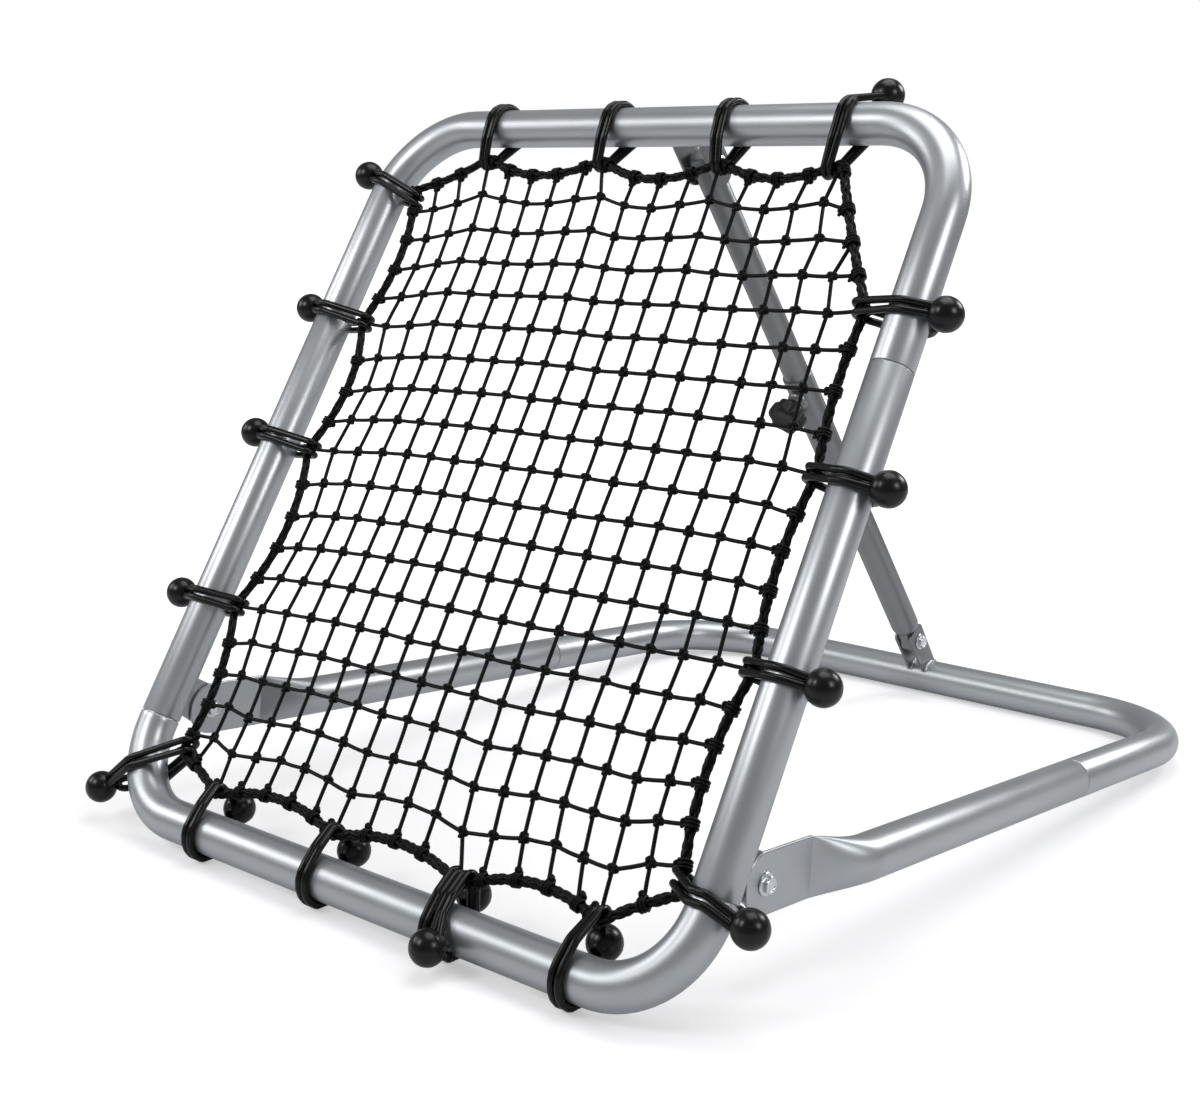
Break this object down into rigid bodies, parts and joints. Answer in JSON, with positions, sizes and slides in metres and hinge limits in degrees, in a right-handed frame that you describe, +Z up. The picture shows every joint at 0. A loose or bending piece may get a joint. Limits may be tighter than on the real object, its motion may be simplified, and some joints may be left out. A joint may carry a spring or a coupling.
{
  "type": "baseball rebounder",
  "caption": "Baseball rebounder: a leaning tube frame with a cord net on ball bungees, on a hinged U base, propped by a telescopic strut with a clamp knob.",
  "frame": {"origin": "centre of the footprint, on the floor that the base and the cords under the bottom tube rest on", "axes": "+X to the right seen from the thrower, -Y towards the thrower, +Z up"},
  "size_m": [0.7798, 0.9534, 0.7029],
  "materials": {
    "frame_paint": "satin silver-grey paint",
    "strut_paint": "satin dark grey paint",
    "zinc": "bright zinc plating",
    "ball_plastic": "gloss black",
    "knob_plastic": "fine-grained black",
    "elastic_cord": "black woven sleeve over elastic",
    "net_cord": "black knotted cord"
  },
  "bodies": {
    "base": {"rear_tube": "frame_paint", "left_arm": "frame_paint", "right_arm": "frame_paint", "foot_bracket": "strut_paint", "foot_bolt": "zinc", "foot_nut": "zinc"},
    "frame": {"ball_top_1": "ball_plastic", "bungee_top_1": "elastic_cord", "ball_top_2": "ball_plastic", "bungee_top_2": "elastic_cord", "ball_top_3": "ball_plastic", "bungee_top_3": "elastic_cord", "ball_top_4": "ball_plastic", "bungee_top_4": "elastic_cord", "ball_left_1": "ball_plastic", "bungee_left_1": "elastic_cord", "ball_left_2": "ball_plastic", "bungee_left_2": "elastic_cord", "ball_left_3": "ball_plastic", "bungee_left_3": "elastic_cord", "ball_left_4": "ball_plastic", "bungee_left_4": "elastic_cord", "ball_left_5": "ball_plastic", "bungee_left_5": "elastic_cord", "ball_right_1": "ball_plastic", "bungee_right_1": "elastic_cord", "ball_right_2": "ball_plastic", "bungee_right_2": "elastic_cord", "ball_right_3": "ball_plastic", "bungee_right_3": "elastic_cord", "ball_right_4": "ball_plastic", "bungee_right_4": "elastic_cord", "ball_bottom_1": "ball_plastic", "bungee_bottom_1": "elastic_cord", "ball_bottom_2": "ball_plastic", "bungee_bottom_2": "elastic_cord", "ball_bottom_3": "ball_plastic", "bungee_bottom_3": "elastic_cord", "ball_bottom_4": "ball_plastic", "bungee_bottom_4": "elastic_cord", "ball_bottom_front": "ball_plastic", "bungee_bottom_front": "elastic_cord", "border_rope": "net_cord", "net": "net_cord", "top_tube": "frame_paint", "bottom_tube": "frame_paint", "left_side_tube": "frame_paint", "right_side_tube": "frame_paint", "left_hinge_plate": "frame_paint", "right_hinge_plate": "frame_paint", "head_bracket": "strut_paint", "left_hinge_bolt": "zinc", "right_hinge_bolt": "zinc", "left_hinge_nut": "zinc", "right_hinge_nut": "zinc", "head_bolt": "zinc", "head_nut": "zinc"},
    "strut_lower": {"strut_outer_tube": "strut_paint"},
    "strut_upper": {"strut_inner_tube": "strut_paint"},
    "knob": {"knob": "knob_plastic"}
  },
  "joints": [
    {"name": "frame_tilt", "type": "hinge", "parent": "base", "child": "frame", "pos_m": [0, -0.32225, 0.092], "axis": [1, 0, 0], "range_deg": [-10, 7]},
    {"name": "strut_swing", "type": "hinge", "parent": "base", "child": "strut_lower", "pos_m": [0.02, 0.42875, 0.068], "axis": [1, 0, 0], "range_deg": [-3.3, 2.3]},
    {"name": "strut_slide", "type": "slide", "parent": "strut_lower", "child": "strut_upper", "axis": [0, -0.5912, 0.8065], "range_m": [-0.1045, 0.0733]},
    {"name": "knob_turn", "type": "hinge", "parent": "strut_lower", "child": "knob", "pos_m": [0.02, 0.19522, 0.38657], "axis": [0, -0.8065, -0.5912], "range_deg": [-180, 180]}
  ],
  "couplings": [
    {"joint": "strut_swing", "follows": "frame_tilt", "ratio": 0.324},
    {"joint": "strut_slide", "follows": "frame_tilt", "m_per_rad": 0.596}
  ]
}
